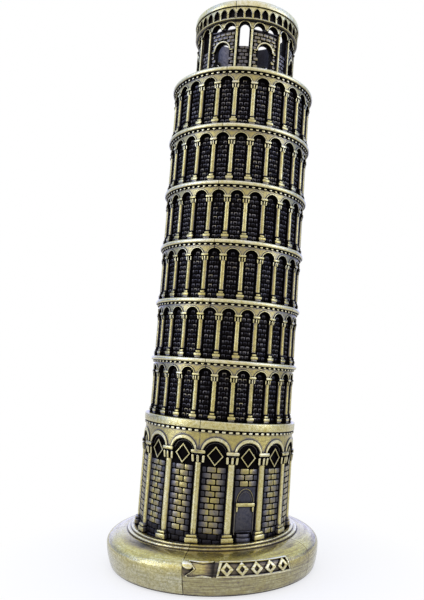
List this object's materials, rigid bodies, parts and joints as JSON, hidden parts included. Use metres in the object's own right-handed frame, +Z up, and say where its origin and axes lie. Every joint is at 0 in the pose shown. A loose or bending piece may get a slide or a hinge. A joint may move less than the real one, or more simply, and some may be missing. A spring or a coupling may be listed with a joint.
{
  "type": "miniature landmark model",
  "caption": "Leaning round tower souvenir in antique brass: arcaded ground floor with a door, tiers of column galleries, open belfry, round ribboned base.",
  "frame": {"origin": "centre of the felt face that the model stands on", "axes": "+Z up; -Y out through the door and the ribbon (the front); the tower's axis leans from +Z towards +X"},
  "size_m": [0.0939, 0.0926, 0.2472],
  "materials": {
    "antique_brass": "antique brass plate over a dark blue-black patina, raised edges rubbed bright, fine brushing and cast pits",
    "dark_patina_brass": "dark blue-black patina, unpolished",
    "zinc_steel": "zinc plated, dull",
    "felt": "dark green pressed wool felt"
  },
  "bodies": {
    "root": {"base_segment_front": "antique_brass", "base_segment_front_right": "antique_brass", "base_segment_rear_right": "antique_brass", "base_segment_rear_left": "antique_brass", "base_segment_front_left": "antique_brass", "shaft_stave_front": "antique_brass", "shaft_stave_front_right": "antique_brass", "shaft_stave_rear_right": "antique_brass", "shaft_stave_rear_left": "antique_brass", "shaft_stave_front_left": "antique_brass", "belfry_segment_front": "antique_brass", "belfry_segment_front_right": "antique_brass", "belfry_segment_rear_right": "antique_brass", "belfry_segment_rear_left": "antique_brass", "belfry_segment_front_left": "antique_brass", "belfry_deck": "dark_patina_brass", "clamp_plate": "zinc_steel", "bottom_plate": "zinc_steel", "felt_pad": "felt", "shaft_screws": "zinc_steel", "base_screws": "zinc_steel", "deck_screws": "zinc_steel"}
  },
  "joints": []
}
